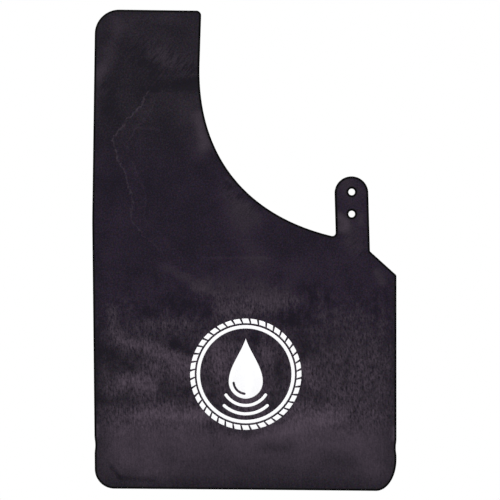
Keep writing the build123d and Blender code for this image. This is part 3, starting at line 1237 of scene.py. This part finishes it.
def rubber_wall():
    """The cut wall through the thickness: a fine drag along the blade's way, with worn pale spots."""
    _, _, finish, _ = settings()
    r = Recipe("rubber_wall")
    place = r.add("TexCoord", output=3)
    drag = r.add("VectorMath", {0: place, 1: (60.0, 1800.0, 60.0)}, operation="MULTIPLY")
    lines = r.add("TexNoise", {"Vector": drag, "Scale": 1.0, "Detail": 2.0})
    spots = r.remap(r.add("TexNoise", {"Vector": place, "Scale": 170.0, "Detail": 4.0}), 0.52, 0.74)
    pale = r.math("MULTIPLY_ADD", lines, 0.34, r.math("MULTIPLY", spots, 0.30))
    return r.finish(
        Base_Color=r.mix(pale, opaque(finish.rubber), opaque(finish.bloom)),
        Roughness=r.remap(lines, 0.3, 0.7, 0.5, 0.7),
        Specular_IOR_Level=0.25,
        Normal=r.bump(lines, 0.00015, 0.8),
    )


def white_ink():
    """Matt screen ink with a slight unevenness and pinholes where the nap shows."""
    known = bpy.data.materials.get("white_ink")
    if known:
        return known
    _, _, finish, _ = settings()
    r = Recipe("white_ink")
    patch = r.remap(r.noise(r.flat(), 120, 4, 0.6), 0.35, 0.7)
    pin = r.remap(r.noise(r.flat(), 1500, 2, 0.7), 0.70, 0.76)
    worn = tuple(0.86 * c for c in finish.ink)
    base = r.mix(patch, opaque(worn), opaque(finish.ink))
    return r.finish(
        Base_Color=r.mix(r.math("MULTIPLY", pin, 0.5), base, opaque((0.30, 0.27, 0.31))),
        Roughness=r.remap(patch, 0.0, 1.0, 0.5, 0.66),
        Specular_IOR_Level=0.3,
        Normal=r.bump(r.noise(r.flat(), 1100, 2), 0.00003, 0.6),
    )


def pale_floor(tone):
    """A plain matt floor."""
    r = Recipe("pale_floor")
    shade = r.noise(r.add("TexCoord", output=3), 3.0, 3)
    darker = tuple(0.985 * c for c in tone)
    return r.finish(
        Base_Color=r.mix(shade, opaque(darker), opaque(tone)), Roughness=0.9, Specular_IOR_Level=0.1
    )


# ---------------------------------------------------------------------------
# The studio
# ---------------------------------------------------------------------------


# The soft boxes: name, place, side and power in watts.
LIGHTS = (
    ("key", (-1.1, -1.5, 1.3), 1.2, 26.0),
    ("fill", (1.4, -1.7, 0.5), 1.4, 12.0),
    ("back", (0.7, 1.8, 1.2), 1.2, 26.0),
    ("top", (-0.1, 0.0, 2.3), 1.6, 22.0),
)
SENSOR_WIDTH = 36.0
SIGHT_LIMIT = 50.0


def soft_light(name, place, size, power, target):
    """A square soft box that points at a place."""
    bpy.ops.object.light_add(type="AREA", location=place)
    lamp = bpy.context.object
    lamp.name = name
    lamp.data.shape = "SQUARE"
    lamp.data.size = size
    lamp.data.energy = power
    lamp.rotation_euler = (target - Vector(place)).to_track_quat("-Z", "Y").to_euler()
    lamp.visible_camera = False


def even_sky(strength):
    """A white surround whose light on the sheet is set apart from the white that shows behind it."""
    world = bpy.data.worlds.new("studio")
    world.use_nodes = True
    tree = world.node_tree
    shown = tree.nodes["Background"]
    shown.inputs["Color"].default_value = (1.0, 1.0, 1.0, 1.0)
    lit = tree.nodes.new("ShaderNodeBackground")
    lit.inputs["Color"].default_value = (1.0, 1.0, 1.0, 1.0)
    lit.inputs["Strength"].default_value = strength
    path = tree.nodes.new("ShaderNodeLightPath")
    mix = tree.nodes.new("ShaderNodeMixShader")
    tree.links.new(path.outputs["Is Camera Ray"], mix.inputs[0])
    tree.links.new(lit.outputs[0], mix.inputs[1])
    tree.links.new(shown.outputs[0], mix.inputs[2])
    tree.links.new(mix.outputs[0], tree.nodes["World Output"].inputs["Surface"])
    bpy.context.scene.world = world


class MakeStage(bpy.types.Operator):
    """Set up the floor, the soft lights and the camera square on to the printed side"""

    bl_idname = "mud_flap.stage"
    bl_label = "Studio"
    bl_options = {"REGISTER", "UNDO"}

    def execute(self, context):
        g = context.scene.flap_stage
        deselect_all()
        middle = Vector((g.frame_x, (FRONT + BACK) / 2, g.frame_z))
        bpy.ops.mesh.primitive_circle_add(
            vertices=FLOOR_SIDES,
            radius=g.floor_size,
            fill_type="NGON",
            location=(middle.x, middle.y, cad_box[0].z - g.floor_drop),
        )
        floor = bpy.context.object
        floor.name = "floor"
        bpy.ops.object.transform_apply(location=True, rotation=True, scale=True)
        floor.data.materials.append(pale_floor(g.floor_tone))

        for light in LIGHTS:
            soft_light(*light, middle)
        even_sky(g.sky)

        bpy.ops.object.camera_add(location=(middle.x, FRONT - g.camera_distance, middle.z))
        camera = bpy.context.object
        camera.name = "camera"
        camera.rotation_euler = (math.pi / 2, 0.0, 0.0)
        camera.data.sensor_width = SENSOR_WIDTH
        camera.data.lens = SENSOR_WIDTH * g.camera_distance / g.frame_width
        camera.data.clip_end = SIGHT_LIMIT
        context.scene.camera = camera
        context.scene.view_settings.view_transform = "Standard"
        return {"FINISHED"}


# ---------------------------------------------------------------------------
# Add-on
# ---------------------------------------------------------------------------


STEPS = (MakeSheet, MakeTreadBlocks, MakeSidewallRing, MakeWaterDrop, MakeRipples, MakeStage)
GROUPS = {
    "flap_sheet": SheetSizes,
    "flap_figure": FigureSizes,
    "flap_finish": Finish,
    "flap_stage": StageSizes,
}


class MudFlapPanel(bpy.types.Panel):
    """Lists the steps and the values of the mud flap"""

    bl_idname = "VIEW3D_PT_mud_flap"
    bl_label = "Mud Flap"
    bl_space_type = "VIEW_3D"
    bl_region_type = "UI"
    bl_category = "Mud Flap"

    def draw(self, context):
        for step in STEPS:
            self.layout.operator(step.bl_idname)
        for group in GROUPS:
            values = getattr(context.scene, group)
            column = self.layout.column(heading=values.bl_rna.name)
            for key in values.__annotations__:
                column.prop(values, key)


def register():
    """Adds the classes and their values to Blender."""
    for group in GROUPS.values():
        bpy.utils.register_class(group)
    for step in (*STEPS, MudFlapPanel):
        bpy.utils.register_class(step)
    for name, group in GROUPS.items():
        setattr(bpy.types.Scene, name, PointerProperty(type=group))


def unregister():
    """Takes the classes and their values out of Blender."""
    for name in GROUPS:
        delattr(bpy.types.Scene, name)
    for step in (MudFlapPanel, *reversed(STEPS)):
        bpy.utils.unregister_class(step)
    for group in reversed(list(GROUPS.values())):
        bpy.utils.unregister_class(group)


def main():
    """Builds the flap and its studio."""
    register()
    for step in STEPS:
        area, name = step.bl_idname.split(".")
        getattr(getattr(bpy.ops, area), name)()


if __name__ == "__main__":
    main()
